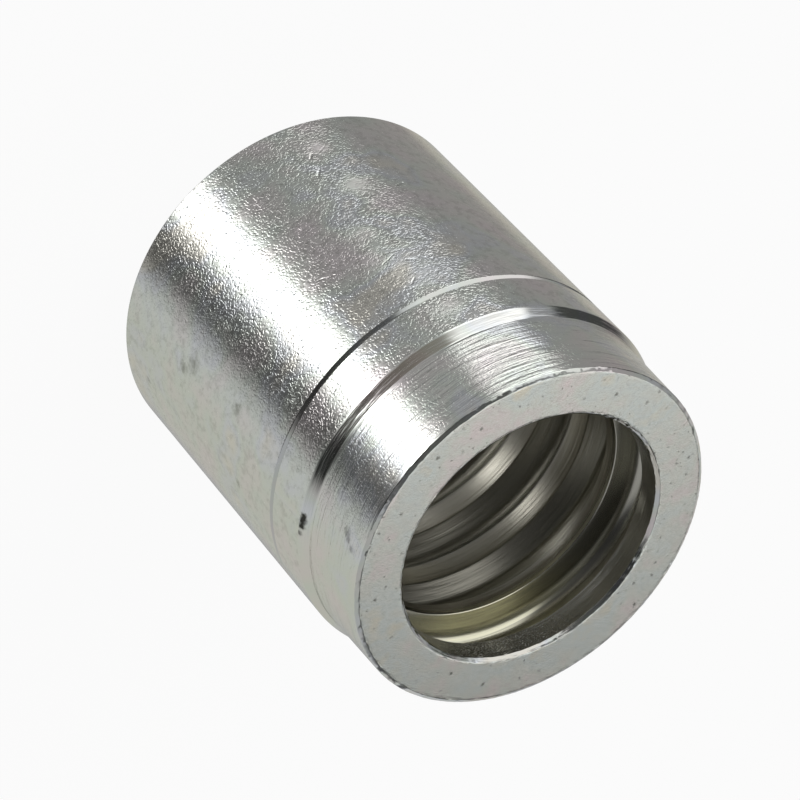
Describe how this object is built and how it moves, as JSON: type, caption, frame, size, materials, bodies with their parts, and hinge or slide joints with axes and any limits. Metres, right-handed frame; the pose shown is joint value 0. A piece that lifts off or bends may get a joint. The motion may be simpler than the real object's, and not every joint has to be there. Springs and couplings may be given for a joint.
{
  "type": "crimp hose ferrule",
  "caption": "Turned steel crimp ferrule for hydraulic hose: plain sleeve with a marking groove, a stepped nose with an inner locking lip, and a ridged bore that grips the hose.",
  "frame": {"origin": "on the axis, in the plane of the hose end's rim, on which the ferrule stands", "axes": "+Z along the axis from the hose end to the nose; X and Y are free, because the part is turned"},
  "size_m": [0.03, 0.03, 0.0353],
  "materials": {
    "zinc_plated_steel": "clear passivated zinc over barrel-tumbled turned steel"
  },
  "bodies": {
    "root": {"ferrule": "zinc_plated_steel"}
  },
  "joints": []
}
